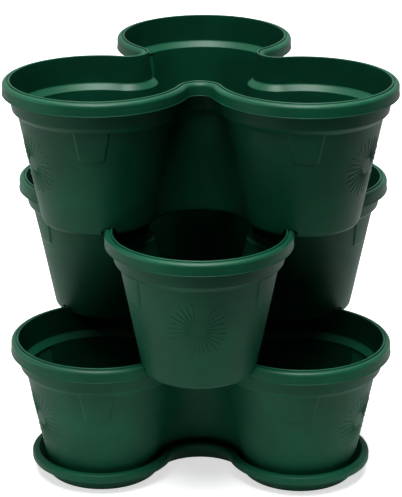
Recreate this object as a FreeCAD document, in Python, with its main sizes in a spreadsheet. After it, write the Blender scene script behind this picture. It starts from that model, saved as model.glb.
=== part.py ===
import FreeCAD, Part
import Sketcher
import math
import os

# A three tier planter tower in moulded plastic: three identical trefoil pots, each turned by 60 degrees
# on the one below so that its foot straddles the rim below, and a trefoil saucer under them.
# The origin is on the ground, on the tower's axis. Z is up and the saucer's back lobe points along +Y.
# All lengths are in millimetres.

SIZES = [
    ("lobe_radius", 95.2, "outer face of the rim round a lobe"),
    ("neck_radius", 14, "outer face of the rim in the hollow between two lobes"),
    ("neck_turn", 147.3, "degrees that the rim turns through in a hollow"),
    ("pot_height", 150, "one pot, from foot to lip"),
    ("wall", 2.4, "wall of a pot"),
    ("base_inset", 37.3, "foot of the wall, inwards from the rim's outer face"),
    ("wall_inset", 15.2, "top of the wall, under the shoulder"),
    ("band_inset", 9.4, "lower edge of the upper band"),
    ("lip_inset", 8.2, "inner edge of the lip"),
    ("lip_width", 1.9, "thin lip round the mouth"),
    ("groove_width", 1.2, "groove between the lip and the bead"),
    ("groove_depth", 1.6, "bead's top down to the groove's floor"),
    ("lip_rise", 0.9, "lip above the bead"),
    ("bead_rounding", 4.2, "rounded shoulder of the rim"),
    ("skirt_height", 14.2, "rim's outer face, from the lip down"),
    ("band_height", 16, "upper band that shows below the skirt"),
    ("shoulder_height", 5.5, "sloping step under the upper band"),
    ("rim_crown", 4.6, "solid top of the hollow rim"),
    ("edge_rounding", 0.8, "small moulded edges"),
    ("lip_rounding", 0.7, "both edges of the lip"),
    ("foot_rounding", 7, "lower edge of a pot"),
    ("foot_width", 11, "flat ring that a pot stands on"),
    ("nest_depth", 10, "how far a foot reaches below the rim that carries it"),
    ("seat_gap", 0.3, "running gap where two pieces rest on each other"),
    ("notch_clearance", 3.2, "room beside the rim in the foot's notches"),
    ("notch_arch", 1.25, "rounding of a notch's corners, as a multiple of that room"),
    ("panel_turn", 60, "panel's middle, in degrees from the lobe's front"),
    ("panel_top_width", 37, "raised panel at its upper edge"),
    ("panel_foot_width", 26, "raised panel at its lower edge"),
    ("panel_height", 31, "raised panel, straight down from the shoulder"),
    ("panel_relief", 1.3, "how far a panel stands out of the wall"),
    ("panel_rounding", 3.5, "lower corners of a panel"),
    ("panel_tuck", 0.38, "panel's top in under the shoulder, as a share of the shoulder's height"),
    ("drain_bore", 8, "holes in a pot's floor"),
    ("drain_ring", 46, "ring of drain holes round the axis"),
    ("drain_turn", 22, "outer drain holes of a lobe, in degrees from its middle hole"),
    ("saucer_height", 24.5, "saucer, from the ground to the top of its flange"),
    ("saucer_wall", 2.2, "wall of the saucer"),
    ("foot_tuck", 0.16, "saucer's corner in under a pot's rounded foot, as a share of that rounding"),
    ("flange_gap", 6.6, "between the saucer's flange and the pot that stands in it"),
    ("flange_width", 7, "rolled flange, across"),
    ("flange_skirt", 8.8, "rolled flange, from its top down"),
    ("flange_rounding", 3.5, "rounded top of the flange"),
    ("saucer_rounding", 3, "lower edge of the saucer"),
    ("saucer_ring", 12, "ring of the saucer's floor that is turned with its wall"),
]

TIER_NAMES = ("bottom_pot", "middle_pot", "top_pot")
LOBES = 3
CENTRE = FreeCAD.Vector(0, 0, 0)
UP = FreeCAD.Vector(0, 0, 1)

# Turns in degrees. The first lobe points to the back, and each tier is turned by half a lobe's share.
FULL_TURN = 360
LOBE_TURN = FULL_TURN / LOBES
TIER_TURN = LOBE_TURN / 2
BACK = 90

# A point nearer than this to a sketch's axis lies on it.
ON_AXIS = 0.001
# The length that an upright construction line is drawn with.
AXIS_LENGTH = "10"
# The most of a thin edge's width that one of its two roundings takes.
EDGE_SHARE = 0.4

doc = FreeCAD.newDocument("vertical_planter_tower")
sheet = doc.addObject("Spreadsheet::Sheet", "Sizes")


def fill_sheet():
    """Put every driving size in the sheet, with its name and what it measures."""
    for row, (alias, value, note) in enumerate(SIZES, start=1):
        sheet.set(f"A{row}", alias)
        sheet.set(f"B{row}", str(value))
        sheet.set(f"C{row}", note)
        sheet.setAlias(f"B{row}", alias)
    doc.recompute()


def size(alias):
    """A driving size, as a number."""
    return float(sheet.get(alias))


def number(expression):
    """What an expression on the sheet's sizes comes to."""
    result = sheet.evalExpression(expression)
    return float(getattr(result, "Value", result))


def cell(alias):
    """A driving size, as it is written in an expression."""
    return f"Sizes.{alias}"


# Plan geometry that all pieces share. A neck is the hollow arc between two lobe arcs, tangent to both.
REACH = f"({cell('lobe_radius')} + {cell('neck_radius')})"
NECK_HALF_TURN = f"({cell('neck_turn')} / 2)"
LOBE_HALF_TURN = f"({TIER_TURN} + {NECK_HALF_TURN})"
LOBE_AXIS_X = f"({REACH} * sin({NECK_HALF_TURN}))"
LOBE_OFFSET = f"({LOBE_AXIS_X} / sin({TIER_TURN}))"
LOBE_AXIS_Y = f"({LOBE_OFFSET} * cos({TIER_TURN}))"
NECK_OFFSET = f"({LOBE_AXIS_Y} + {REACH} * cos({NECK_HALF_TURN}))"

# Heights in a pot, from the ground that it stands on.
FLOOR_LOW = f"({cell('nest_depth')} + {cell('seat_gap')})"
BAND_LOW = f"({cell('pot_height')} - {cell('skirt_height')} - {cell('band_height')})"
SHOULDER_LOW = f"({BAND_LOW} - {cell('shoulder_height')})"
SKIRT_LOW = f"({cell('pot_height')} - {cell('skirt_height')})"
BEAD_TOP = f"({cell('pot_height')} - {cell('lip_rise')})"
CROWN_LOW = f"({cell('pot_height')} - {cell('rim_crown')})"
GROOVE_LOW = f"({BEAD_TOP} - {cell('groove_depth')})"

# Where the lowest pot stands, from the ground that the saucer stands on.
STAND = f"({cell('saucer_wall')} + {cell('seat_gap')})"


def origin_feature(body, role):
    """The body's own origin plane or axis with this role."""
    return next(item for item in body.Origin.OriginFeatures if item.Role == role)


def new_sketch(body, name, role, height="0"):
    """A sketch on one of the body's origin planes, moved along the plane's normal by an expression."""
    sketch = body.newObject("Sketcher::SketchObject", name)
    sketch.AttachmentSupport = [(origin_feature(body, role), "")]
    sketch.MapMode = "FlatFace"
    sketch.setExpression("AttachmentOffset.Base.z", height)
    return sketch


def drive(sketch, constraint, expression):
    """Add a constraint whose size follows an expression."""
    index = sketch.addConstraint(constraint)
    sketch.setExpression(f"Constraints[{index}]", expression)


def pin(sketch, element, end, across, up):
    """Hold a point at a place given by two expressions, measured from the sketch's origin."""
    for kind, expression in (("DistanceX", across), ("DistanceY", up)):
        place = number(expression)
        if abs(place) < ON_AXIS:
            axis = -2 if kind == "DistanceX" else -1
            sketch.addConstraint(Sketcher.Constraint("PointOnObject", element, end, axis))
        elif place > 0:
            drive(sketch, Sketcher.Constraint(kind, -1, 1, element, end, place), expression)
        else:
            drive(sketch, Sketcher.Constraint(kind, element, end, -1, 1, -place), f"-({expression})")


def point(across, up):
    """A point of a sketch from two expressions."""
    return FreeCAD.Vector(number(across), number(up), 0)


def corner_arc(before, corner, after, radius):
    """The rounding of a corner: its two tangent points, its centre and whether it turns left."""
    back = (before - corner).normalize()
    ahead = (after - corner).normalize()
    half = back.getAngle(ahead) / 2
    reach = radius / math.tan(half)
    middle = (back + ahead).normalize()
    centre = corner + middle * (radius / math.sin(half))
    left = (corner - before).cross(after - corner).z > 0
    return corner + back * reach, corner + ahead * reach, centre, left


def draw_arc(sketch, centre, start, end, left):
    """An arc from start to end, and which of its ends is which."""
    radius = (start - centre).Length
    angles = [math.atan2((spot - centre).y, (spot - centre).x) for spot in (start, end)]
    if not left:
        angles.reverse()
    circle = Part.Circle(centre, UP, radius)
    arc = sketch.addGeometry(Part.ArcOfCircle(circle, angles[0], angles[1]), False)
    return arc, (1 if left else 2), (2 if left else 1)


def draw_outline(sketch, corners):
    """A closed outline of straight runs. Each corner is (across, up, rounding), rounding may be None."""
    places = [point(across, up) for across, up, _ in corners]
    count = len(corners)
    arcs = []
    for index, (_, _, rounding) in enumerate(corners):
        around = (places[index - 1], places[index], places[(index + 1) % count])
        arcs.append(corner_arc(*around, number(rounding)) if rounding else None)
    runs = []
    for index in range(count):
        following = (index + 1) % count
        start = arcs[index][1] if arcs[index] else places[index]
        end = arcs[following][0] if arcs[following] else places[following]
        runs.append(sketch.addGeometry(Part.LineSegment(start, end), False))
    for index, (across, up, rounding) in enumerate(corners):
        before, after = runs[index - 1], runs[index]
        if rounding is None:
            sketch.addConstraint(Sketcher.Constraint("Coincident", before, 2, after, 1))
            pin(sketch, after, 1, across, up)
            continue
        start, end, centre, left = arcs[index]
        arc, first, last = draw_arc(sketch, centre, start, end, left)
        sketch.addConstraint(Sketcher.Constraint("Tangent", before, 2, arc, first))
        sketch.addConstraint(Sketcher.Constraint("Tangent", arc, last, after, 1))
        drive(sketch, Sketcher.Constraint("Radius", arc, number(rounding)), rounding)
        corner = sketch.addGeometry(Part.Point(places[index]), True)
        sketch.addConstraint(Sketcher.Constraint("PointOnObject", corner, 1, before))
        sketch.addConstraint(Sketcher.Constraint("PointOnObject", corner, 1, after))
        pin(sketch, corner, 1, across, up)


def draw_axis(sketch, across):
    """An upright construction line that a profile is turned about."""
    foot, top = point(across, "0"), point(across, AXIS_LENGTH)
    line = sketch.addGeometry(Part.LineSegment(foot, top), True)
    sketch.addConstraint(Sketcher.Constraint("Vertical", line))
    sketch.addConstraint(Sketcher.Constraint("DistanceY", line, 1, line, 2, (top - foot).Length))
    pin(sketch, line, 1, across, "0")


def plan_arc(sketch, offset, turn, radius, facing, half_turn):
    """An arc in plan whose centre lies at a distance and a turn from the tower's axis."""
    centre = FreeCAD.Vector(number(offset) * math.cos(turn), number(offset) * math.sin(turn), 0)
    circle = Part.Circle(centre, UP, number(radius))
    arc = sketch.addGeometry(Part.ArcOfCircle(circle, facing - half_turn, facing + half_turn), False)
    drive(sketch, Sketcher.Constraint("Radius", arc, number(radius)), radius)
    return arc


def draw_trefoil(sketch, inset):
    """The plan outline: three lobe arcs joined by three tangent neck arcs, all inwards by an inset."""
    lobe_radius = f"({cell('lobe_radius')} - ({inset}))"
    neck_radius = f"({cell('neck_radius')} + ({inset}))"
    lobe_half = math.radians(number(LOBE_HALF_TURN))
    neck_half = math.radians(number(NECK_HALF_TURN))
    lobes, necks = [], []
    for step in range(LOBES):
        degrees = BACK + LOBE_TURN * step
        turn = math.radians(degrees)
        lobes.append(plan_arc(sketch, LOBE_OFFSET, turn, lobe_radius, turn, lobe_half))
        pin(sketch, lobes[-1], 3, f"{LOBE_OFFSET} * cos({degrees})", f"{LOBE_OFFSET} * sin({degrees})")
        turn += math.radians(TIER_TURN)
        necks.append(plan_arc(sketch, NECK_OFFSET, turn, neck_radius, turn + math.pi, neck_half))
    for step in range(LOBES):
        following = lobes[(step + 1) % LOBES]
        sketch.addConstraint(Sketcher.Constraint("Tangent", lobes[step], 2, necks[step], 2))
        sketch.addConstraint(Sketcher.Constraint("Tangent", necks[step], 1, following, 1))


def lobe_place(inset):
    """Where an inset lies on the section through a lobe, along +Y."""
    return f"{LOBE_OFFSET} + {cell('lobe_radius')} - ({inset})"


def neck_place(inset):
    """Where an inset lies on the section through a neck, along -Y."""
    return f"({inset}) + {cell('neck_radius')} - {NECK_OFFSET}"


def turned(body, name, corners, place, axis, half_turn):
    """A section in the YZ plane, turned evenly to both sides about an upright axis."""
    sketch = new_sketch(body, name + "_section", "YZ_Plane")
    draw_axis(sketch, axis)
    draw_outline(sketch, [(place(inset), up, rounding) for inset, up, rounding in corners])
    turn = body.newObject("PartDesign::Revolution", name)
    turn.Profile = sketch
    turn.ReferenceAxis = (sketch, ["Axis0"])
    turn.Midplane = True
    turn.setExpression("Angle", f"2 * {half_turn}")
    sketch.Visibility = False
    return turn


def three_fold(body, name, originals):
    """Repeat features round the tower's axis, once for each lobe."""
    pattern = body.newObject("PartDesign::PolarPattern", name)
    pattern.Originals = originals
    pattern.Axis = (origin_feature(body, "Z_Axis"), [""])
    pattern.Angle = FULL_TURN
    pattern.Occurrences = LOBES
    body.Tip = pattern
    return pattern


def trefoil_ring(body, name, corners):
    """The ring that a wall section makes as it follows the trefoil: lobes and necks."""
    neck_axis = f"-{NECK_OFFSET}"
    lobe = turned(body, name + "_lobe", corners, lobe_place, LOBE_OFFSET, LOBE_HALF_TURN)
    neck = turned(body, name + "_neck", corners, neck_place, neck_axis, NECK_HALF_TURN)
    return three_fold(body, name, [lobe, neck])


def trefoil_plate(body, name, inset, low, thickness):
    """A flat trefoil plate, from its lower face up."""
    sketch = new_sketch(body, name + "_outline", "XY_Plane", low)
    draw_trefoil(sketch, inset)
    plate = body.newObject("PartDesign::Pad", name)
    plate.Profile = sketch
    plate.setExpression("Length", thickness)
    sketch.Visibility = False
    return plate


def pot_section():
    """The wall of a pot from its foot up the outside, over the rim and down the inside."""
    wall = cell("wall")
    edge = cell("edge_rounding")
    lip_edge = f"min({cell('lip_rounding')}; {EDGE_SHARE} * {cell('lip_width')})"
    foot_inner = f"{cell('base_inset')} + {cell('foot_width')}"
    lip_outer = f"{cell('lip_inset')} - {cell('lip_width')}"
    bead_inner = f"{lip_outer} - {cell('groove_width')}"
    shoulder_lean = f"atan(({cell('wall_inset')} - {cell('band_inset')}) / {cell('shoulder_height')})"
    mitre = f"{wall} * tan({shoulder_lean} / 2)"
    return [
        (foot_inner, "0", None),
        (cell("base_inset"), "0", cell("foot_rounding")),
        (cell("wall_inset"), SHOULDER_LOW, edge),
        (cell("band_inset"), BAND_LOW, edge),
        (f"{cell('lip_inset')} - {wall}", CROWN_LOW, None),
        (wall, CROWN_LOW, None),
        (wall, SKIRT_LOW, None),
        ("0", SKIRT_LOW, edge),
        ("0", BEAD_TOP, f"min({cell('bead_rounding')}; {bead_inner} - {edge})"),
        (bead_inner, BEAD_TOP, None),
        (bead_inner, GROOVE_LOW, None),
        (lip_outer, GROOVE_LOW, None),
        (lip_outer, cell("pot_height"), lip_edge),
        (cell("lip_inset"), cell("pot_height"), lip_edge),
        (f"{cell('band_inset')} + {wall}", f"{BAND_LOW} + {mitre}", edge),
        (f"{cell('wall_inset')} + {wall}", f"{SHOULDER_LOW} + {mitre}", edge),
        (f"{cell('base_inset')} + {wall}", wall, f"{cell('foot_rounding')} - {wall}"),
        (foot_inner, wall, None),
    ]


def wall_inset_at(height):
    """How far in the outer face of a pot's wall lies at a height."""
    lean = f"({cell('base_inset')} - {cell('wall_inset')}) / {SHOULDER_LOW}"
    return f"{cell('base_inset')} - {lean} * ({height})"


def drain_holes(body):
    """A hole on the axis and three in each lobe, all over the mouth of the pot below."""
    cuts = []
    for name, places in (("drain_middle", [(0, 0)]), ("drain_lobe", [(1, -1), (1, 0), (1, 1)])):
        sketch = new_sketch(body, name + "_plan", "XY_Plane", FLOOR_LOW)
        for ring, side in places:
            angle = f"{side} * {cell('drain_turn')}"
            across = f"{ring} * {cell('drain_ring')} * sin({angle})"
            up = f"{ring} * {cell('drain_ring')} * cos({angle})"
            bore = cell("drain_bore")
            circle = Part.Circle(point(across, up), UP, number(bore) / 2)
            hole = sketch.addGeometry(circle, False)
            pin(sketch, hole, 3, across, up)
            drive(sketch, Sketcher.Constraint("Diameter", hole, number(bore)), bore)
        cut = body.newObject("PartDesign::Pocket", name)
        cut.Profile = sketch
        cut.Reversed = True
        cut.setExpression("Length", f"2 * {cell('wall')}")
        sketch.Visibility = False
        cuts.append(cut)
    three_fold(body, "drain_holes", [cuts[-1]])


def rim_notches(body):
    """Notches in the foot where it crosses the rim below, which is turned by one tier."""
    inner = f"{LOBE_AXIS_Y} + {cell('lobe_radius')} - {cell('lip_inset')} - {cell('notch_clearance')}"
    outer = f"{LOBE_AXIS_Y} + {cell('lobe_radius')} + {cell('notch_clearance')}"
    below = f"-{cell('wall')}"
    rounding = f"{cell('notch_clearance')} * {cell('notch_arch')}"
    cuts = []
    for name, side in (("notch_right", 1), ("notch_left", -1)):
        sketch = new_sketch(body, name + "_section", "YZ_Plane", f"{side} * {LOBE_AXIS_X}")
        draw_axis(sketch, LOBE_AXIS_Y)
        draw_outline(sketch, [
            (inner, below, None),
            (outer, below, None),
            (outer, FLOOR_LOW, rounding),
            (inner, FLOOR_LOW, rounding),
        ])
        cut = body.newObject("PartDesign::Groove", name)
        cut.Profile = sketch
        cut.ReferenceAxis = (sketch, ["Axis0"])
        cut.setExpression("Angle", NECK_HALF_TURN)
        cut.Reversed = side < 0
        sketch.Visibility = False
        cuts.append(cut)
    three_fold(body, "rim_notches", cuts)


def cone_skin(low, high, inner, outer):
    """A skin round the lobe on +Y, between two distances out from the wall's outer face."""
    corners = []
    for height, steps in ((low, (inner, outer)), (high, (outer, inner))):
        face_radius = number(f"{cell('lobe_radius')} - ({wall_inset_at(str(height))})")
        corners += [FreeCAD.Vector(0, face_radius + step, height) for step in steps]
    face = Part.Face(Part.makePolygon(corners + corners[:1]))
    face.rotate(CENTRE, UP, -BACK)
    skin = face.revolve(CENTRE, UP, FULL_TURN / 2)
    skin.translate(FreeCAD.Vector(0, number(LOBE_OFFSET), 0))
    return skin


def panel_block(side, shrink, tuck):
    """The upright block whose side walls cut a panel out of a skin, on one side of the lobe's front."""
    half_top = size("panel_top_width") / 2 - shrink
    half_low = size("panel_foot_width") / 2 - shrink
    half_top += (half_top - half_low) / size("panel_height") * tuck
    top = number(SHOULDER_LOW) + tuck
    low = number(SHOULDER_LOW) - size("panel_height") + shrink
    rounding = size("panel_rounding")
    corners = [
        FreeCAD.Vector(-half_top, 0, top),
        FreeCAD.Vector(-half_low, 0, low),
        FreeCAD.Vector(half_low, 0, low),
        FreeCAD.Vector(half_top, 0, top),
    ]
    edges = []
    start = corners[0]
    for index in (1, 2):
        first, last, centre, _ = corner_arc(corners[index - 1], corners[index], corners[index + 1], rounding)
        outward = centre + (corners[index] - centre).normalize() * rounding
        edges.append(Part.LineSegment(start, first).toShape())
        edges.append(Part.Arc(first, outward, last).toShape())
        start = last
    edges.append(Part.LineSegment(start, corners[3]).toShape())
    edges.append(Part.LineSegment(corners[3], corners[0]).toShape())
    block = Part.Face(Part.Wire(edges)).extrude(FreeCAD.Vector(0, size("lobe_radius"), 0))
    block.rotate(CENTRE, UP, side * size("panel_turn"))
    block.translate(FreeCAD.Vector(0, number(LOBE_OFFSET), 0))
    return block


def all_lobes(solids):
    """The same solids at each of the three lobes, as one shape."""
    copies = []
    for step in range(LOBES):
        for solid in solids:
            copy = solid.copy()
            copy.rotate(CENTRE, UP, LOBE_TURN * step)
            copies.append(copy)
    return Part.makeCompound(copies)


def panel_shape(inner, outer, shrink, tuck):
    """Six panels that follow the wall, between two distances out from its outer face."""
    shoulder = number(SHOULDER_LOW)
    skin = cone_skin(shoulder - size("panel_height"), shoulder + tuck, inner, outer)
    return all_lobes([skin.common(panel_block(side, shrink, tuck)) for side in (-1, 1)])


def shaped(name, shape):
    """A document object that holds a worked out shape."""
    item = doc.addObject("Part::Feature", name)
    item.Shape = shape
    return item


def make_pot_moulding():
    """One pot: a turned wall and rim, floor, notches and holes, and panels pressed out of the wall."""
    body = doc.addObject("PartDesign::Body", "pot_shell")
    trefoil_ring(body, "pot_wall", pot_section())
    floor_inset = f"{wall_inset_at(FLOOR_LOW)} + {cell('wall')} / 2"
    trefoil_plate(body, "pot_floor", floor_inset, FLOOR_LOW, cell("wall"))
    drain_holes(body)
    rim_notches(body)
    doc.recompute()
    wall, relief = size("wall"), size("panel_relief")
    tuck = size("panel_tuck") * size("shoulder_height")
    raised = shaped("panels_outside", panel_shape(-wall / 2, relief, 0, tuck))
    sunk = shaped("panels_inside", panel_shape(-2 * wall, relief - wall, wall, 0))
    fused = doc.addObject("Part::MultiFuse", "pot_with_panels")
    fused.Shapes = [body, raised]
    pot = doc.addObject("Part::Cut", "pot_moulding")
    pot.Base = fused
    pot.Tool = sunk
    pot.Refine = True
    return pot


def make_saucer():
    """The saucer: a low tray with a rolled flange, shaped round the foot of the lowest pot."""
    wall = cell("saucer_wall")
    height = cell("saucer_height")
    corner = f"{cell('base_inset')} + {cell('foot_tuck')} * {cell('foot_rounding')}"
    ring_inner = f"{corner} - {wall} + {cell('saucer_ring')}"
    flange_inner = f"({wall_inset_at(f'{height} - {STAND}')} - {cell('flange_gap')})"
    flange_outer = f"({flange_inner} - {cell('flange_width')})"
    flange_low = f"{height} - {cell('flange_skirt')}"
    crown_low = f"{height} - {wall}"
    body = doc.addObject("PartDesign::Body", "saucer")
    trefoil_ring(body, "saucer_wall", [
        (ring_inner, "0", None),
        (f"{corner} - {wall}", "0", cell("saucer_rounding")),
        (f"{flange_inner} - {wall}", crown_low, None),
        (f"{flange_outer} + {wall}", crown_low, None),
        (f"{flange_outer} + {wall}", flange_low, None),
        (flange_outer, flange_low, cell("edge_rounding")),
        (flange_outer, height, f"min({cell('flange_rounding')}; {cell('flange_width')} / 2)"),
        (flange_inner, height, f"{wall} / 2"),
        (corner, wall, cell("saucer_rounding")),
        (ring_inner, wall, None),
    ])
    trefoil_plate(body, "saucer_floor", f"{ring_inner} - {cell('saucer_ring')} / 2", "0", wall)
    doc.recompute()
    return body


def make_tiers(pot):
    """The three pots, each a copy of the one moulding, lifted and turned onto the piece below."""
    tiers = []
    for level, name in enumerate(TIER_NAMES):
        tier = doc.addObject("PartDesign::Body", name)
        copy = tier.newObject("PartDesign::FeatureBase", name + "_copy")
        copy.BaseFeature = pot
        tier.Tip = copy
        pitch = f"({cell('pot_height')} - {cell('nest_depth')})"
        tier.setExpression("Placement.Base.z", f"{STAND} + {level} * {pitch}")
        tier.Placement.Rotation = FreeCAD.Rotation(UP, TIER_TURN * level)
        tiers.append(tier)
    doc.recompute()
    return tiers


def check(items):
    """Stop if any object failed or any piece is not one sound solid."""
    for item in doc.Objects:
        if "Invalid" in item.State or "Error" in item.State:
            raise RuntimeError(f"{item.Label} did not rebuild: {item.State}")
    for item in items:
        shape = item.Shape
        if shape.isNull() or not shape.isValid() or len(shape.Solids) != 1:
            raise RuntimeError(f"{item.Label} is not one sound solid")


def report(items):
    """Print each piece's volume and box."""
    for item in items:
        box = item.Shape.BoundBox
        lows = [round(value, 2) for value in (box.XMin, box.YMin, box.ZMin)]
        highs = [round(value, 2) for value in (box.XMax, box.YMax, box.ZMax)]
        print(f"{item.Label}: {item.Shape.Volume / 1000:.1f} cm3, {lows} to {highs}")


def write(items):
    """Write each piece under its own name."""
    os.makedirs("parts", exist_ok=True)
    for item in items:
        item.Shape.exportStep(os.path.join("parts", item.Label + ".step"))


fill_sheet()
saucer = make_saucer()
moulding = make_pot_moulding()
doc.recompute()
pieces = [saucer] + make_tiers(moulding)
check(pieces)
report(pieces)
write(pieces)
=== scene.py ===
# %% [markdown]
# A planter tower of moulded plastic: a saucer and three identical pots, stacked without any fixing.
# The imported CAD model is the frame. It says where each piece is and how it moves, and this script
# dresses each piece with a finer mesh and with the plastic that the pots are made of.
# Loading it comes first, because every piece rides on one of its bodies.

import math

import bmesh
import bpy
import numpy as np
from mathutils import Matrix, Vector


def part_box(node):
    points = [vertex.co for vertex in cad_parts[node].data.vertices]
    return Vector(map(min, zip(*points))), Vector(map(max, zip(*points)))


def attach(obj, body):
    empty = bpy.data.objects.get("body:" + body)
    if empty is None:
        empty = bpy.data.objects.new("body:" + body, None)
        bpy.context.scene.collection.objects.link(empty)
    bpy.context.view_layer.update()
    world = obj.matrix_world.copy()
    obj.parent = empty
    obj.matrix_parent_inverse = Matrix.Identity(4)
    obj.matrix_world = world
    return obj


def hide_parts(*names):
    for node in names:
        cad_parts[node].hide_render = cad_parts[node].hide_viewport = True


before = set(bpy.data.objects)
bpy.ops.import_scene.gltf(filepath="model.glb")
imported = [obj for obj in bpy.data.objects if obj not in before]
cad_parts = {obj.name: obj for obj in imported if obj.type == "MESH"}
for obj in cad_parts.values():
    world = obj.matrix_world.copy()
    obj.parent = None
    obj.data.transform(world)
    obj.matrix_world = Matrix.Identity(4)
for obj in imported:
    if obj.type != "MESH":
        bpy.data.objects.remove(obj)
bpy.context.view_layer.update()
MM = 0.001

# %% [markdown]
# The camera looks a little down on the tower, so that the mouths of the pots show. Close by and with
# a wide lens it would make the upper pots look too big and tilt the upright lines. It stands two
# metres off with a long lens instead, which keeps those lines nearly parallel, as in a catalogue
# picture. The lens is worked out from a focal length in pixels and the picture's long side.

# %% Camera
PICTURE_LONG_SIDE = 497
FOCAL_PIXELS = 1946.7
SENSOR = 36
CAMERA_TURN = math.radians(1.235)
CAMERA_RISE = math.radians(20.405)
CAMERA_DISTANCE = 2081.1 * MM
AIM = Vector((-0.88, 0, 227.5)) * MM

camera_data = bpy.data.cameras.new("studio_camera")
camera_data.sensor_width = SENSOR
camera_data.lens = FOCAL_PIXELS / PICTURE_LONG_SIDE * SENSOR
camera = bpy.data.objects.new("studio_camera", camera_data)
bpy.context.scene.collection.objects.link(camera)
ahead = Vector((
    -math.sin(CAMERA_TURN) * math.cos(CAMERA_RISE),
    math.cos(CAMERA_TURN) * math.cos(CAMERA_RISE),
    -math.sin(CAMERA_RISE),
))
camera.location = AIM - ahead * CAMERA_DISTANCE
camera.rotation_euler = ahead.to_track_quat("-Z", "Y").to_euler()
bpy.context.scene.camera = camera
print("lens in mm:", round(camera_data.lens, 1))

# %% [markdown]
# Seen from above, a pot is a trefoil: three round lobes joined by three short hollow necks. It could
# be drawn as a curve and offset anew for each level, but then the points of two levels need not
# match. All its arcs are tangent, so a wall that stands a few millimetres further in has the same
# centres and only other radii. One list of points with their outward directions then gives every
# level of the pot: each level is that outline moved inwards by its own inset.

# %% The trefoil outline
LOBES = 3
LOBE_RADIUS = 95.2
NECK_RADIUS = 14
NECK_HALF_TURN = math.radians(147.3 / 2)
LOBE_SHARE = 2 * math.pi / LOBES
BACK = math.pi / 2
REACH = LOBE_RADIUS + NECK_RADIUS
LOBE_OFFSET = REACH * math.sin(NECK_HALF_TURN) / math.sin(LOBE_SHARE / 2)
NECK_OFFSET = LOBE_OFFSET * math.cos(LOBE_SHARE / 2) + REACH * math.cos(NECK_HALF_TURN)
LOBE_HALF_TURN = LOBE_SHARE / 2 + NECK_HALF_TURN
LOBE_STEPS = 180
NECK_STEPS = 48


def toward(angle):
    """The direction of an angle in plan."""
    return np.array((math.cos(angle), math.sin(angle)))


def trefoil():
    """The rim's outer face in plan: its points and their outward directions, anticlockwise."""
    points, outward = [], []
    for lobe in range(LOBES):
        facing = BACK + LOBE_SHARE * lobe
        centre = LOBE_OFFSET * toward(facing)
        for step in range(LOBE_STEPS):
            direction = toward(facing + LOBE_HALF_TURN * (2 * step / LOBE_STEPS - 1))
            points.append(centre + LOBE_RADIUS * direction)
            outward.append(direction)
        facing += LOBE_SHARE / 2
        centre = NECK_OFFSET * toward(facing)
        for step in range(NECK_STEPS):
            direction = toward(facing + math.pi + NECK_HALF_TURN * (1 - 2 * step / NECK_STEPS))
            points.append(centre + NECK_RADIUS * direction)
            outward.append(-direction)
    return np.array(points), np.array(outward)


OUTLINE, OUTWARD = trefoil()
print("points round the rim:", len(OUTLINE))

# %% [markdown]
# A moulding has no perfectly sharp edge. A Bevel modifier could round the finished mesh, but it gives
# all the edges that it takes one width. So the section is rounded before it is swept: it is a list
# of corners, each with how far in it lies, its height and a rounding of its own, and the roundings
# become short arcs. Long straight runs are divided, which keeps the faces compact.

# %% Sections with rounded corners
ARC_STEP = math.radians(12)
NEARLY_STRAIGHT = math.radians(178)
LONGEST_RUN = 18


def rounded(corners):
    """The points of a section. Each corner is (inset, height, rounding)."""
    places = [np.array(corner[:2], float) for corner in corners]
    section = [places[0]]
    for before, corner, after, (_, _, radius) in zip(places, places[1:], places[2:], corners[1:]):
        back = (before - corner) / np.linalg.norm(before - corner)
        on = (after - corner) / np.linalg.norm(after - corner)
        half = math.acos(np.clip(back @ on, -1, 1)) / 2
        if not radius or 2 * half > NEARLY_STRAIGHT:
            section.append(corner)
            continue
        middle = (back + on) / np.linalg.norm(back + on)
        centre = corner + middle * radius / math.sin(half)
        start = corner + back * radius / math.tan(half) - centre
        end = corner + on * radius / math.tan(half) - centre
        turn = math.pi - 2 * half
        steps = max(2, math.ceil(turn / ARC_STEP))
        for step in range(steps + 1):
            share = step / steps
            weights = math.sin((1 - share) * turn), math.sin(share * turn)
            section.append(centre + (weights[0] * start + weights[1] * end) / math.sin(turn))
    section.append(places[-1])
    return section


def divided(section):
    """The same section with its long straight runs divided."""
    result = [section[0]]
    for before, after in zip(section, section[1:]):
        parts = max(1, math.ceil(np.linalg.norm(after - before) / LONGEST_RUN))
        result += [before + (after - before) * part / parts for part in range(1, parts + 1)]
    return result


square_corner = rounded([(0, 0, 0), (0, 10, 1), (10, 10, 0)])
print("points on a rounded square corner:", len(square_corner) - 2)

# %% [markdown]
# A Screw modifier would turn the section about an axis, but a pot isn't round. Each point of the
# section becomes a level instead, which is the outline moved inwards, and faces join each level to
# the next. The section starts under the floor, runs out to the wall, over the rim and back to the
# floor's upper side. A face closes each end, and so the shell is closed.

# %% Sweeping a section to a moulding
def mesh_object(name, points, faces):
    """A mesh object from points in millimetres."""
    mesh = bpy.data.meshes.new(name)
    mesh.from_pydata([tuple(point) for point in np.asarray(points, float) * MM], [], faces)
    mesh.update()
    item = bpy.data.objects.new(name, mesh)
    bpy.context.scene.collection.objects.link(item)
    return item


def strip(levels):
    """The points and faces of a closed solid through levels of equally many points."""
    count = len(levels[0])
    points = [point for level in levels for point in level]
    faces = [tuple(reversed(range(count)))]
    for low in range(0, len(points) - count, count):
        high = low + count
        for column in range(count):
            following = (column + 1) % count
            faces.append((low + column, low + following, high + following, high + column))
    faces.append(tuple(range(len(points) - count, len(points))))
    return points, faces


def swept(name, section):
    """The moulding that a section gives when it is swept round the trefoil."""
    levels = [[(x, y, height) for x, y in OUTLINE - inset * OUTWARD] for inset, height in section]
    return mesh_object(name, *strip(levels))


print("faces between two levels:", len(OUTLINE))

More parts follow.
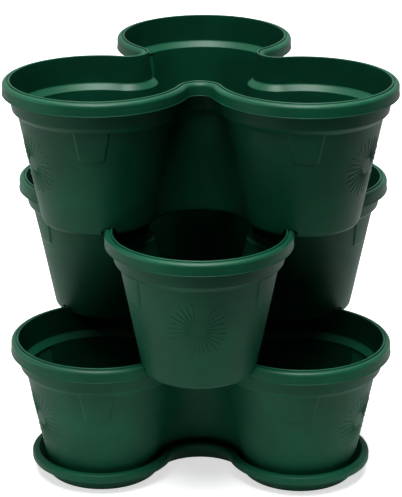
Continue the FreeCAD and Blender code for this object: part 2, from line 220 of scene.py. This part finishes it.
# %% [markdown]
# The pot's section comes from the same sizes as the CAD model. The wall leans out from the foot to a
# sloping shoulder, and an upper band stands on it. The inner face follows the outer one at the
# wall's thickness, because a moulding of even thickness cools without sink marks. A Solidify
# modifier could thicken a single face in that way, but the foot and the rim have forms of their own
# on the inside, so the section holds both faces.

# %% A pot's foot, wall and shoulder
POT_HEIGHT = 150
WALL = 2.4
FOOT_INSET = 37.3
FOOT_WIDTH = 11
FOOT_ROUNDING = 7
FLOOR_LOW = 10.3
FLOOR_TOP = FLOOR_LOW + WALL
FLOOR_RING = 3
FLOOR_ROUNDING = 1.5
WALL_INSET = 15.2
SHOULDER_LOW = 114.3
SHOULDER_ROUNDING = 4.5
BAND_INSET = 9.4
BAND_LOW = 119.8
CREASE = 0.4
WALL_LEAN = math.atan((FOOT_INSET - WALL_INSET) / SHOULDER_LOW)
SHOULDER_LEAN = math.atan((WALL_INSET - BAND_INSET) / (BAND_LOW - SHOULDER_LOW))
MITRE = WALL * math.tan(SHOULDER_LEAN / 2)


def wall_inset(height):
    """How far in the outer face of the wall lies at a height."""
    return FOOT_INSET - height * math.tan(WALL_LEAN)


def inner_inset(height):
    """How far in the inner face of the wall lies at a height, below the shoulder."""
    low, high = (FOOT_INSET + WALL, WALL), (WALL_INSET + WALL, SHOULDER_LOW + MITRE)
    return low[0] + (high[0] - low[0]) * (height - low[1]) / (high[1] - low[1])


print("the wall leans out by, in degrees:", round(math.degrees(WALL_LEAN), 1))

# %% [markdown]
# The rim hangs over the band like a skirt. On top of it a rounded bead, a narrow groove and a thin
# lip run round the mouth, and inside the mouth a ledge slopes in over the shoulder. The two halves of
# the mould part at the skirt's lower edge and leave a step there that is under half a millimetre
# deep. The rim could be a ring of its own, but it is moulded in one with the pot, so it belongs to
# the same section.

# %% A pot's rim, and the whole section
LIP_INSET = 8.2
LIP_EDGE = 0.85
GROOVE = (5.1, 6.3)
GROOVE_LOW = 147.5
BEAD_TOP = 149.1
BEAD_ROUNDING = 4.2
CROWN_LOW = 145.4
SKIRT_LOW = 135.8
PARTING_HEIGHT = 0.6
PARTING_DEPTH = 0.4
FINE_EDGE = 0.3
LEDGE_ROUNDINGS = (4, 1.6)

pot_section = divided(rounded([
    # from under the floor out to the foot
    (inner_inset(FLOOR_LOW), FLOOR_LOW, 0),
    (FOOT_INSET + WALL, WALL, FOOT_ROUNDING - WALL),
    (FOOT_INSET + FOOT_WIDTH, WALL, 0),
    (FOOT_INSET + FOOT_WIDTH, 0, 0),
    (FOOT_INSET, 0, FOOT_ROUNDING),
    # up the wall, the shoulder and the band, and out under the rim
    (WALL_INSET, SHOULDER_LOW, CREASE),
    (BAND_INSET, BAND_LOW, SHOULDER_ROUNDING),
    (LIP_INSET - WALL, CROWN_LOW, 0),
    (WALL, CROWN_LOW, 0),
    # the skirt, with the step where the mould parts
    (WALL, SKIRT_LOW, 0),
    (0, SKIRT_LOW, FINE_EDGE),
    (0, SKIRT_LOW + PARTING_HEIGHT, 0),
    (PARTING_DEPTH, SKIRT_LOW + PARTING_HEIGHT + PARTING_DEPTH, 0),
    # the bead, the groove and the lip
    (PARTING_DEPTH, BEAD_TOP, BEAD_ROUNDING),
    (GROOVE[0], BEAD_TOP, FINE_EDGE),
    (GROOVE[0], GROOVE_LOW, 0),
    (GROOVE[1], GROOVE_LOW, 0),
    (GROOVE[1], POT_HEIGHT, LIP_EDGE),
    (LIP_INSET, POT_HEIGHT, LIP_EDGE),
    # down the ledge and the inside to the floor
    (BAND_INSET + WALL, BAND_LOW + MITRE, LEDGE_ROUNDINGS[0]),
    (WALL_INSET + WALL, SHOULDER_LOW + MITRE, LEDGE_ROUNDINGS[1]),
    (inner_inset(FLOOR_TOP), FLOOR_TOP, FLOOR_ROUNDING),
    (inner_inset(FLOOR_TOP) + FLOOR_RING, FLOOR_TOP, 0),
]))
pot = swept("pot", pot_section)
print("points in the pot's section:", len(pot_section))

# %% [markdown]
# What isn't swept is added or cut with boolean steps. The faces round each hole could be rebuilt by
# hand, but a boolean step takes any closed solid and leaves a closed result. Each solid is made at
# the back lobe and turned to the other two, and all the solids of one kind go into one step.

# %% Boolean steps
def turned_points(points, turn):
    """Points turned about the tower's axis."""
    cosine, sine = math.cos(turn), math.sin(turn)
    matrix = np.array(((cosine, -sine, 0), (sine, cosine, 0), (0, 0, 1)))
    return np.asarray(points, float) @ matrix.T


def at_all_lobes(solids):
    """The same solids at each of the three lobes."""
    return [
        (turned_points(points, LOBE_SHARE * lobe), faces)
        for lobe in range(LOBES)
        for points, faces in solids
    ]


def combine(target, solids, operation):
    """Unite with, or cut away, a list of closed solids given as points and faces."""
    points, faces = [], []
    for solid_points, solid_faces in solids:
        first = len(points)
        points += list(solid_points)
        faces += [tuple(first + corner for corner in face) for face in solid_faces]
    tool = mesh_object("tool", points, faces)
    shell = bmesh.new()
    shell.from_mesh(tool.data)
    bmesh.ops.recalc_face_normals(shell, faces=shell.faces)
    shell.to_mesh(tool.data)
    shell.free()
    step = target.modifiers.new("step", "BOOLEAN")
    step.object, step.operation, step.solver = tool, operation, "MANIFOLD"
    graph = bpy.context.evaluated_depsgraph_get()
    result = bpy.data.meshes.new_from_object(target.evaluated_get(graph))
    target.modifiers.clear()
    target.data = result
    bpy.data.objects.remove(tool)
    print(operation, len(solids), "solids:", len(result.polygons), "faces")


print("degrees from lobe to lobe:", round(math.degrees(LOBE_SHARE)))

# %% [markdown]
# A pot stands in the mouth of the one below, turned by half a lobe's share, so its foot crosses that
# rim in six places. The foot has an arched notch at each of them. A straight block could cut it, but
# the rim below bends away, so the notch follows the rim's arc and leaves the same room on both sides.

# %% Notches
NOTCH_ROOM = 3.2
NOTCH_ARCH = 4
NOTCH_LOW = -WALL
NOTCH_TO_FLOOR = 0.05
NOTCH_STEPS = 30
RIM_BELOW = LOBE_OFFSET * toward(BACK - LOBE_SHARE / 2)


def notch(side):
    """One notch along the rim below, whose lobes are turned by half a lobe's share."""
    inner = LOBE_RADIUS - LIP_INSET - NOTCH_ROOM
    outer = LOBE_RADIUS + NOTCH_ROOM
    top = FLOOR_LOW - NOTCH_TO_FLOOR
    arch = rounded([
        (inner, NOTCH_LOW, 0), (inner, top, NOTCH_ARCH), (outer, top, NOTCH_ARCH), (outer, NOTCH_LOW, 0),
    ])
    levels = []
    for step in range(NOTCH_STEPS + 1):
        across, up = toward(BACK + NECK_HALF_TURN * step / NOTCH_STEPS)
        levels.append([
            (side * (RIM_BELOW[0] + radius * across), RIM_BELOW[1] + radius * up, height)
            for radius, height in arch
        ])
    return strip(levels)


combine(pot, at_all_lobes([notch(-1), notch(1)]), "DIFFERENCE")

# %% [markdown]
# Surplus water leaves through ten drain holes in the floor: one in the middle and three in each
# lobe. A plain cylinder would cut them with razor edges. So the solid that cuts a hole is a short
# column that widens at its foot and its head, and this leaves a small chamfer on both sides.

# %% Drain holes
DRAIN_BORE = 8
DRAIN_RING = 46
DRAIN_TURN = math.radians(22)
DRAIN_EDGE = 0.5
DRAIN_STEPS = 40


def drain_hole(x, y):
    """The solid that cuts a hole through the floor, with a small chamfer at both of its edges."""
    radius = DRAIN_BORE / 2
    flared = radius + 2 * DRAIN_EDGE
    rings = []
    for reach, height in (
        (flared, FLOOR_LOW - DRAIN_EDGE), (radius, FLOOR_LOW + DRAIN_EDGE),
        (radius, FLOOR_TOP - DRAIN_EDGE), (flared, FLOOR_TOP + DRAIN_EDGE),
    ):
        steps = [toward(2 * math.pi * step / DRAIN_STEPS) for step in range(DRAIN_STEPS)]
        rings.append([(x + reach * across, y + reach * up, height) for across, up in steps])
    return strip(rings)


lobe_holes = [drain_hole(*(DRAIN_RING * toward(BACK + side * DRAIN_TURN))) for side in (-1, 0, 1)]
combine(pot, [drain_hole(0, 0)] + at_all_lobes(lobe_holes), "DIFFERENCE")

# %% [markdown]
# Two shallow panels stand out of the wall of each lobe, right under the shoulder, and the wall is
# pressed in behind them, so that it keeps its thickness. Flat plates would stand off the round wall,
# so these follow the wall's cone. A chamfer round their edge turns one side to the light and the
# other away from it, and this draws the thin pale and dark lines by which a panel shows at all.

# %% A place on the wall
def on_wall(turn, across, height, out):
    """A point near the back lobe's wall: turned from its front, then across, and out of the face."""
    radius = LOBE_RADIUS - wall_inset(height) + out
    angle = turn + math.asin(across / radius)
    return (-radius * math.sin(angle), LOBE_OFFSET + radius * math.cos(angle), height)


print("the back lobe's front under the shoulder in mm:", np.round(on_wall(0, 0, SHOULDER_LOW, 0), 1))

# %% A panel's plate
PANEL_TURN = math.radians(60)
PANEL_HALF_TOP = 18.5
PANEL_HALF_FOOT = 13
PANEL_HEIGHT = 31
PANEL_LOW = SHOULDER_LOW - PANEL_HEIGHT
PANEL_ROUNDING = 3.5
PANEL_CORNER_TURNS = (0, math.radians(25), math.radians(45))
PANEL_ROWS = 6
PANEL_COLUMNS = 16
CHAMFER_DEPTH = 1.1
CHAMFER_WIDTH = 2


def panel(side, low_out, high_out, shrink, top):
    """A panel's plate between two distances out of the wall's face."""
    low = PANEL_LOW + shrink
    rises = [PANEL_ROUNDING * (1 - math.cos(turn)) for turn in PANEL_CORNER_TURNS]
    heights = [low + rise for rise in (*rises, CHAMFER_WIDTH)]
    heights += list(np.linspace(low + PANEL_ROUNDING, top, PANEL_ROWS))
    # only a plate that stands out of the wall has a chamfer
    at_edge = high_out - CHAMFER_DEPTH if high_out > 0 else high_out
    levels = []
    for height in heights:
        share = (height - PANEL_LOW) / PANEL_HEIGHT
        half = PANEL_HALF_FOOT + (PANEL_HALF_TOP - PANEL_HALF_FOOT) * share - shrink
        # the lower corners are rounded
        rise = min(height - low, PANEL_ROUNDING)
        half -= PANEL_ROUNDING - math.sqrt(PANEL_ROUNDING**2 - (PANEL_ROUNDING - rise) ** 2)
        flat = half - CHAMFER_WIDTH
        outer, inner = [], []
        for step in (-half, *np.linspace(-flat, flat, PANEL_COLUMNS), half):
            from_edge = min(1, (height - low) / CHAMFER_WIDTH, (half - abs(step)) / CHAMFER_WIDTH)
            out = at_edge + (high_out - at_edge) * from_edge
            outer.append(on_wall(side * PANEL_TURN, step, height, out))
            inner.append(on_wall(side * PANEL_TURN, step, height, low_out))
        levels.append(outer + inner[::-1])
    return strip(levels)


print("a panel's width at its foot and top in mm:", 2 * PANEL_HALF_FOOT, 2 * PANEL_HALF_TOP)

# %% Raised and pressed panels
PANEL_RELIEF = 1.3
PANEL_INTO_SHOULDER = 2.1
raised = [panel(side, -WALL / 2, PANEL_RELIEF, 0, SHOULDER_LOW + PANEL_INTO_SHOULDER) for side in (-1, 1)]
pressed = [panel(side, -2 * WALL, PANEL_RELIEF - WALL, WALL, SHOULDER_LOW) for side in (-1, 1)]
combine(pot, at_all_lobes(raised), "UNION")
combine(pot, at_all_lobes(pressed), "DIFFERENCE")

# %% [markdown]
# The front of each lobe carries a sunburst, a traditional garden ornament: slender raised rays
# round a plain centre, long and short in turn. A bump texture could draw it, but real ridges catch
# the light from every side and stay in an exported mesh. Each ray is a ridge half a millimetre high
# that widens outwards. It is sunk a little into the wall, so that it joins the wall without a gap.

# %% Sunbursts
RAYS = 28
BURST_HEIGHT = 70.3
BURST_STRETCH = 1.07
RAY_REACHES = ((7, 30.5), (8.5, 28))
RAY_RELIEF = 0.47
RAY_SINK = 0.7
RAY_HALF_WIDTHS = (0.55, 1.75)
# how full a ray is at shares of its length
RAY_STATIONS = (
    (0, 0.25), (0.02, 0.6), (0.06, 0.9), (0.15, 1), (0.4, 1),
    (0.7, 1), (0.9, 1), (0.96, 0.85), (0.99, 0.5), (1, 0.2),
)
# the relief across a ray, from side to side, where None is its foot, sunk into the wall
RAY_PROFILE = (
    (-1, None), (-1, 0), (-0.5, 0.55), (-0.12, 0.97),
    (0.12, 0.97), (0.5, 0.55), (1, 0), (1, None),
)


def ray(turn, inner, outer):
    """One ridge of the sunburst, on the face of the back lobe."""
    along, aside = toward(turn), toward(turn + math.pi / 2)
    levels = []
    for share, fullness in RAY_STATIONS:
        reach = inner + (outer - inner) * share
        half = (RAY_HALF_WIDTHS[0] + (RAY_HALF_WIDTHS[1] - RAY_HALF_WIDTHS[0]) * share) * fullness
        level = []
        for width, relief in RAY_PROFILE:
            across, up = reach * along + half * width * aside
            out = -RAY_SINK if relief is None else RAY_RELIEF * relief * fullness
            height = BURST_HEIGHT + BURST_STRETCH * up * math.cos(WALL_LEAN)
            level.append(on_wall(0, across, height, out))
        levels.append(level)
    return strip(levels)


rays = [ray(2 * math.pi * index / RAYS, *RAY_REACHES[index % 2]) for index in range(RAYS)]
combine(pot, at_all_lobes(rays), "UNION")

# %% [markdown]
# Where a boolean step cuts right beside a corner it leaves slivers, which are faces far thinner than a
# hair. They don't show and could be left, but an exported mesh can open along them. So points that
# lie within two thousandths of a millimetre are merged, and each edge still joins two faces.

# %% Clearing slivers
HAIR = 0.002 * MM

shell = bmesh.new()
shell.from_mesh(pot.data)
bmesh.ops.remove_doubles(shell, verts=shell.verts, dist=HAIR)
bmesh.ops.dissolve_degenerate(shell, edges=shell.edges, dist=HAIR)
print("edges that don't join two faces:", sum(len(edge.link_faces) != 2 for edge in shell.edges))
shell.to_mesh(pot.data)
shell.free()

# %% [markdown]
# The saucer is a low tray with a rolled flange, and it catches what drains out of the pots. It has
# the same trefoil for an outline, so it is swept in the same way, from its underside out to the
# flange and back in over its floor. Its sizes follow from the pot that stands in it.

# %% The saucer
SAUCER_HEIGHT = 24.5
SAUCER_WALL = 2.2
SAUCER_ROUNDING = 3
SAUCER_RING = 10
SEAT_GAP = 0.3
STAND = SAUCER_WALL + SEAT_GAP
FOOT_TUCK = 0.16
FLANGE_GAP = 6.6
FLANGE_WIDTH = 7
FLANGE_SKIRT = 8.8
FLANGE_EDGE = 0.8
FLANGE_ROUNDING = 3.5
saucer_corner = FOOT_INSET + FOOT_TUCK * FOOT_ROUNDING
flange_inner = wall_inset(SAUCER_HEIGHT - STAND) - FLANGE_GAP
flange_outer = flange_inner - FLANGE_WIDTH
flange_low = SAUCER_HEIGHT - FLANGE_SKIRT
crown_low = SAUCER_HEIGHT - SAUCER_WALL
saucer = swept("saucer", divided(rounded([
    (saucer_corner + SAUCER_RING, 0, 0),
    (saucer_corner - SAUCER_WALL, 0, SAUCER_ROUNDING),
    (flange_inner - SAUCER_WALL, crown_low, 0),
    (flange_outer + SAUCER_WALL, crown_low, 0),
    (flange_outer + SAUCER_WALL, flange_low, 0),
    (flange_outer, flange_low, FLANGE_EDGE),
    (flange_outer, SAUCER_HEIGHT, FLANGE_ROUNDING),
    (flange_inner, SAUCER_HEIGHT, SAUCER_WALL / 2),
    (saucer_corner, SAUCER_WALL, SAUCER_ROUNDING),
    (saucer_corner + SAUCER_RING, SAUCER_WALL, 0),
])))
print("saucer faces:", len(saucer.data.polygons))

# %% [markdown]
# The pots and the saucer are polypropylene, a soft and slightly waxy plastic, coloured through in a
# dark bottle green and injection moulded. The mould's faces give it three finishes. The outside was
# moulded against spark-eroded steel, which leaves a fine satin grain. The rim's bead, its lip and
# the ledge inside were moulded against smoother steel and are silkier, and their green is painted a
# shade paler: a painted highlight for the light that these rounded, upward-facing edges catch. The
# core that shapes the inner walls was left rougher and dull, and there the green is painted deeper:
# painted shade for the inside of the pots, where little light falls. Each finish has faint clouds
# where the melt flowed. The colours are sRGB hex values, and one function turns them to linear.

# %% Colours and a helper for nodes
def linear(code):
    """A hex colour as linear red, green, blue and alpha."""
    channels = [int(code[place:place + 2], 16) / 255 for place in (1, 3, 5)]
    return (*(c / 12.92 if c <= 0.04045 else ((c + 0.055) / 1.055) ** 2.4 for c in channels), 1)


def add(tree, kind, settings=None, **inputs):
    """Add a node, set its own settings and fill its inputs with values or links."""
    node = tree.nodes.new(kind)
    for name, value in (settings or {}).items():
        setattr(node, name, value)
    for name, value in inputs.items():
        socket = node.inputs[name.replace("_", " ")]
        if isinstance(value, bpy.types.NodeSocket):
            tree.links.new(value, socket)
        else:
            socket.default_value = value
    return node


print("half grey in linear:", round(linear("#808080")[0], 3))

# %% [markdown]
# An image of the plastic could be wrapped round the pots, but it would need seams. Noise in the
# object's own coordinates has none. The grain of a spark-eroded mould is about 0.1 mm across, which
# is far too fine to show at one pixel to the millimetre, so it is drawn 0.9 mm across here. The flow
# clouds are 60 mm across. The index of refraction is that of polypropylene, and the specular level is
# how much of the sheen is left: the grain of the dull faces breaks most of it up.

# %% Polypropylene
POLYPROPYLENE_IOR = 1.49
GREENS = ("#0b4630", "#0e4e36", "#11573d")
# the pale greens are a painted highlight, for the light that the rim's bead, lip and ledge catch
PAINTED_HIGHLIGHT_GREENS = ("#0e4d36", "#11563c", "#145f43")
# the deep greens are painted shade, for the little light that reaches the inside of the pots
PAINTED_SHADE_GREENS = ("#03301f", "#043523", "#063b28")
GRAIN = 0.9 * MM
CLOUD = 60 * MM
CLOUD_STOPS = (0.3, 0.5, 0.7)


def polypropylene(name, greens, roughness, spread, grain_depth, specular_level):
    """Bottle green polypropylene: its roughness and how far it varies, and its grain's depth in metres."""
    material = bpy.data.materials.new(name)
    material.use_nodes = True
    tree = material.node_tree
    tree.nodes.clear()
    place = add(tree, "ShaderNodeTexCoord").outputs["Object"]
    clouds = add(tree, "ShaderNodeTexNoise", Vector=place, Scale=1 / CLOUD, Detail=3.0, Roughness=0.55)
    grain = add(tree, "ShaderNodeTexNoise", Vector=place, Scale=1 / GRAIN, Detail=2.0, Roughness=0.6)
    colour = add(tree, "ShaderNodeValToRGB", Fac=clouds.outputs["Fac"])
    stops = colour.color_ramp.elements
    stops.new(CLOUD_STOPS[1])
    for stop, position, green in zip(stops, CLOUD_STOPS, greens):
        stop.position, stop.color = position, linear(green)
    gloss = add(
        tree, "ShaderNodeMapRange", Value=grain.outputs["Fac"],
        To_Min=roughness - spread, To_Max=roughness + spread,
    )
    bump = add(tree, "ShaderNodeBump", Height=grain.outputs["Fac"], Strength=1.0, Distance=grain_depth)
    shader = add(
        tree, "ShaderNodeBsdfPrincipled", Base_Color=colour.outputs["Color"],
        Roughness=gloss.outputs["Result"], IOR=POLYPROPYLENE_IOR, Normal=bump.outputs["Normal"],
        Specular_IOR_Level=specular_level,
    )
    add(tree, "ShaderNodeOutputMaterial", Surface=shader.outputs["BSDF"])
    return material


print("grain and clouds in mm:", round(GRAIN / MM, 1), round(CLOUD / MM, 1))

# %% The three finishes
FINISHES = (
    polypropylene(
        "spark_eroded_polypropylene", GREENS,
        roughness=0.5, spread=0.06, grain_depth=0.03 * MM, specular_level=0.15,
    ),
    # silky, and painted paler as a painted highlight on the bead, the lip and the inner ledge
    polypropylene(
        "smooth_polypropylene_painted_pale", PAINTED_HIGHLIGHT_GREENS,
        roughness=0.42, spread=0.04, grain_depth=0.01 * MM, specular_level=0.38,
    ),
    # matt, and painted deeper as painted shade on the inner walls
    polypropylene(
        "matt_polypropylene_painted_deep", PAINTED_SHADE_GREENS,
        roughness=0.6, spread=0.04, grain_depth=0.01 * MM, specular_level=0.05,
    ),
)
GRAINED, SILKY_PAINTED_PALE, MATT_PAINTED_DEEP = range(len(FINISHES))
print("materials:", [material.name for material in FINISHES])

# %% [markdown]
# The finish of each face follows from where it lies. The faces could be picked by hand, but they
# change with every boolean step, while their places don't. To tell the outside from the inside, each
# face's distance in from the rim's outline is set against that of the outer wall at its height. The
# middle of a pot is in no lobe and so counts as outside, and as most of the floor is one large face
# round that middle, the floor gets the grain too. Smooth shading with sharp edges by angle keeps the
# round faces round and the moulded edges crisp.

# %% Distance from the outline
def distance_in(points):
    """How far inside the rim's outer face each point lies in plan, at a lobe or by a neck."""
    beyond = np.full(len(points), np.inf)
    for lobe in range(LOBES):
        centre = LOBE_OFFSET * toward(BACK + LOBE_SHARE * lobe)
        beyond = np.minimum(beyond, np.linalg.norm(points - centre, axis=1) - LOBE_RADIUS)
    inside = -beyond
    for lobe in range(LOBES):
        facing = BACK + LOBE_SHARE * lobe + LOBE_SHARE / 2
        centre = NECK_OFFSET * toward(facing)
        span = np.linalg.norm(points - centre, axis=1)
        bearing = (points - centre) @ -toward(facing) / span
        at_neck = (bearing > math.cos(NECK_HALF_TURN)) & (span < NECK_RADIUS + FOOT_INSET)
        inside = np.where(at_neck, span - NECK_RADIUS, inside)
    return inside


lobe_centre, axis = np.round(distance_in(np.array([(0, LOBE_OFFSET), (0, 0)])), 1)
print("in from the outline, in mm, at a lobe's centre and on the axis:", lobe_centre, axis)

# %% Finishes by place
SHARP = math.radians(15)
BEAD_LOW = 145.5
SKIRT_MARGIN = 1


def dress(item, finish_of):
    """Give each face its finish, and shade the moulding smooth with crisp edges."""
    mesh = item.data
    mesh.materials.clear()
    for material in FINISHES:
        mesh.materials.append(material)
    centres = np.empty(len(mesh.polygons) * 3)
    mesh.polygons.foreach_get("center", centres)
    finish = finish_of(centres.reshape(-1, 3) / MM).astype(np.int32)
    mesh.polygons.foreach_set("material_index", finish)
    mesh.shade_smooth()
    mesh.set_sharp_from_angle(angle=SHARP)
    mesh.update()
    print(item.name, "faces grained, silky and matt:", np.bincount(finish, minlength=len(FINISHES)))


def pot_finish(centres):
    """Grained outside and on the floor; silky with a painted highlight on bead, lip and inner ledge; matt
    with painted shade on the inner walls.
    """
    inside, height = distance_in(centres[:, :2]), centres[:, 2]
    face = np.interp(
        height, (0, SHOULDER_LOW, BAND_LOW, CROWN_LOW),
        (FOOT_INSET, WALL_INSET, BAND_INSET, LIP_INSET - WALL),
    )
    on_body = (inside < face + WALL / 2) & (height < CROWN_LOW)
    on_skirt = (height > SKIRT_LOW - SKIRT_MARGIN) & (inside < WALL / 2)
    on_ledge = (height > SHOULDER_LOW) & (height < BAND_LOW + 2 * MITRE) & ~on_body
    on_bead = height > BEAD_LOW
    # the silky faces carry a painted highlight, the matt faces painted shade
    return np.where(on_bead | on_ledge, SILKY_PAINTED_PALE, np.where(on_body | on_skirt, GRAINED, MATT_PAINTED_DEEP))


def saucer_finish(centres):
    """Grained all over."""
    return np.full(len(centres), GRAINED)


dress(pot, pot_finish)
dress(saucer, saucer_finish)

# %% [markdown]
# The one pot is copied for the three tiers. Each copy is turned by half a lobe's share on the one
# below and lifted by a pot's height less the depth to which its foot nests. Three objects could
# share one mesh and be turned as objects, but here the copies are moved in their meshes, so that
# each object sits at the origin like the CAD node that it stands for.

# %% Stacking the tower
NESTING = 10
PITCH = POT_HEIGHT - NESTING


def stack(item, node, turn, lift):
    """Turn and lift a moulding in its mesh, let it ride on its body and stand for its CAD node."""
    points = np.empty(len(item.data.vertices) * 3)
    item.data.vertices.foreach_get("co", points)
    points = turned_points(points.reshape(-1, 3), turn) + (0, 0, lift * MM)
    item.data.vertices.foreach_set("co", points.ravel())
    item.data.update()
    item.name = item.data.name = node + "_moulding"
    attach(item, node)
    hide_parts(node)
    low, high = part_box(node)
    ends = zip((*low, *high), (*points.min(0), *points.max(0)))
    print(item.name, "off its CAD box by, in mm:", [round((mine - cad) / MM, 2) for cad, mine in ends])


for tier, node in enumerate(("bottom_pot", "middle_pot", "top_pot")):
    copy = bpy.data.objects.new(node, pot.data.copy())
    bpy.context.scene.collection.objects.link(copy)
    stack(copy, node, LOBE_SHARE / 2 * tier, STAND + PITCH * tier)
stack(saucer, "saucer", 0, 0)
bpy.data.objects.remove(pot)

# %% [markdown]
# The tower stands on pale paper in a white room. More light would make the paper white, but it would
# wash out the dark green too. A Light Path node says what kind of ray is asking, and so the camera
# can see white where the plastic gets a plainer light. Both the paper and the room differ between
# the bright side, behind the tower and to its left, and the dark side, where the camera stands.

# %% What each kind of ray sees, and on which side
BRIGHT_SIDE = (-0.4, 0.92, 0)


def seen_by(tree, *kinds):
    """1 for the named kinds of rays, 0 for all others."""
    path = add(tree, "ShaderNodeLightPath")
    total = path.outputs[kinds[0]]
    for kind in kinds[1:]:
        total = add(tree, "ShaderNodeMath", {"operation": "MAXIMUM"}, Value=total).outputs["Value"]
        tree.links.new(path.outputs[kind], total.node.inputs[1])
    return total


def toward_bright_side(tree, place):
    """How far a place or a direction lies toward the bright side of the room."""
    product = add(tree, "ShaderNodeVectorMath", {"operation": "DOT_PRODUCT"}, Vector=place)
    product.inputs[1].default_value = BRIGHT_SIDE
    return product.outputs["Value"]


bearing = math.degrees(math.atan2(-BRIGHT_SIDE[0], BRIGHT_SIDE[1]))
print("the bright side is left of the back by, in degrees:", round(bearing, 1))

# %% [markdown]
# To the camera the paper glows by itself nearly up to white, and fully so further off, and only the
# tower's shadow shows on it. In reflections it glows a little. The light that it throws back on the
# tower is that of plain pale paper. Toward the dark side the paper ends for all but the camera,
# which keeps the walls that face that way deep.

# %% Floor
FLOOR_SIZE = 12
PAPER = "#e8e8e8"
DARK_ROOM = "#202020"
PAPER_LIFT = 0.66
WHITENING = (0.5, 2.5)
PAPER_IN_GLOSS = 0.2
PAPER_ENDS = (-0.62, -0.32)

half = FLOOR_SIZE / 2 / MM
corners = [(-half, -half, 0), (half, -half, 0), (half, half, 0), (-half, half, 0)]
floor = mesh_object("floor", corners, [(0, 1, 2, 3)])
paper = bpy.data.materials.new("white_paper")
paper.use_nodes = True
tree = paper.node_tree
tree.nodes.clear()
place_on_floor = add(tree, "ShaderNodeTexCoord").outputs["Object"]
away = add(tree, "ShaderNodeVectorMath", {"operation": "LENGTH"}, Vector=place_on_floor)
to_camera = add(
    tree, "ShaderNodeMapRange", Value=away.outputs["Value"],
    From_Min=WHITENING[0], From_Max=WHITENING[1], To_Min=PAPER_LIFT, To_Max=1.0,
)
in_gloss = add(
    tree, "ShaderNodeMapRange", Value=seen_by(tree, "Is Glossy Ray", "Is Transmission Ray"),
    To_Min=0.0, To_Max=PAPER_IN_GLOSS,
)
lift = add(
    tree, "ShaderNodeMapRange", Value=seen_by(tree, "Is Camera Ray"),
    To_Min=in_gloss.outputs["Result"], To_Max=to_camera.outputs["Result"],
)
glow = add(tree, "ShaderNodeEmission", Color=(1, 1, 1, 1), Strength=lift.outputs["Result"])
print("glow of the paper to the camera, near the tower and far off:", PAPER_LIFT, 1.0)

# %% Where the paper ends
lit = add(tree, "ShaderNodeBsdfDiffuse", Color=linear(PAPER))
dark = add(tree, "ShaderNodeBsdfDiffuse", Color=linear(DARK_ROOM))
white = add(tree, "ShaderNodeAddShader")
tree.links.new(lit.outputs["BSDF"], white.inputs[0])
tree.links.new(glow.outputs["Emission"], white.inputs[1])
paper_here = add(
    tree, "ShaderNodeMapRange", Value=toward_bright_side(tree, place_on_floor),
    From_Min=PAPER_ENDS[0], From_Max=PAPER_ENDS[1],
)
is_white = add(tree, "ShaderNodeMath", {"operation": "MAXIMUM"}, Value=paper_here.outputs["Result"])
tree.links.new(seen_by(tree, "Is Camera Ray"), is_white.inputs[1])
choice = add(tree, "ShaderNodeMixShader", Fac=is_white.outputs["Value"])
tree.links.new(dark.outputs["BSDF"], choice.inputs[1])
tree.links.new(white.outputs["Shader"], choice.inputs[2])
add(tree, "ShaderNodeOutputMaterial", Surface=choice.outputs["Shader"])
floor.data.materials.append(paper)
print("the paper ends on the dark side at, in m:", -PAPER_ENDS[0])

# %% [markdown]
# A plain white world would light the tower evenly from all round and flatten it. So the room fades
# from bright behind the tower to dark in front of it, and it is brighter in reflections, where it
# draws the sheen. The camera alone sees it white all round. The view transform is Standard, which
# shows colours as they are written.

# %% Surrounding
BEHIND = 0.22
BEHIND_IN_GLOSS = 0.52
IN_FRONT = 0.03
ROOM_FADES = (-0.3, 0.5)

bpy.context.scene.view_settings.view_transform = "Standard"
world = bpy.data.worlds.new("studio")
bpy.context.scene.world = world
world.use_nodes = True
tree = world.node_tree
tree.nodes.clear()
direction = add(tree, "ShaderNodeTexCoord").outputs["Generated"]
behind = add(
    tree, "ShaderNodeMapRange", Value=seen_by(tree, "Is Glossy Ray", "Is Transmission Ray"),
    To_Min=BEHIND, To_Max=BEHIND_IN_GLOSS,
)
light = add(
    tree, "ShaderNodeMapRange", Value=toward_bright_side(tree, direction),
    From_Min=ROOM_FADES[0], From_Max=ROOM_FADES[1], To_Min=IN_FRONT, To_Max=behind.outputs["Result"],
)
strength = add(
    tree, "ShaderNodeMapRange", Value=seen_by(tree, "Is Camera Ray"),
    To_Min=light.outputs["Result"], To_Max=1.0,
)
around = add(tree, "ShaderNodeBackground", Color=(1, 1, 1, 1), Strength=strength.outputs["Result"])
add(tree, "ShaderNodeOutputWorld", Surface=around.outputs["Background"])
print("light of the room in front and behind:", IN_FRONT, BEHIND)

# %% [markdown]
# A bare bulb would put hard shadows and small bright spots on the pots. Two large soft panels hang
# high over the tower instead, one right above it and one in front. Together with the beads' paler
# painted green, a painted highlight, they draw the pale line along the beads of the rims, and they
# leave the bands in the shade of the skirts and the walls dark right under the shoulders. A small
# weak panel low at the left gives the outer walls there their broad sheen.

# %% Lamps
MIDDLE = Vector((0, 0, 0.25))
# the name, the place in metres, the width and length in metres and the power in watts
LAMPS = (
    ("top_panel", (0, 0.3, 5.5), 4.0, 4.0, 200),
    ("front_top_panel", (-0.2, -2.2, 5.4), 2.6, 2.6, 285),
    ("left_panel", (-1.7, -0.5, 0.35), 1.0, 0.7, 2),
)

for name, place, width, length, power in LAMPS:
    lamp = bpy.data.lights.new(name, "AREA")
    lamp.shape = "RECTANGLE"
    lamp.size, lamp.size_y, lamp.energy = width, length, power
    item = bpy.data.objects.new(name, lamp)
    item.location = place
    item.rotation_euler = (MIDDLE - Vector(place)).to_track_quat("-Z", "Y").to_euler()
    bpy.context.scene.collection.objects.link(item)
    print(name, "watts per square metre:", round(power / width / length, 1))

# %% [markdown]
# Last, the view layer is brought up to date.

# %% Bringing the scene up to date
bpy.context.view_layer.update()
bpy.context.view_layer.update()
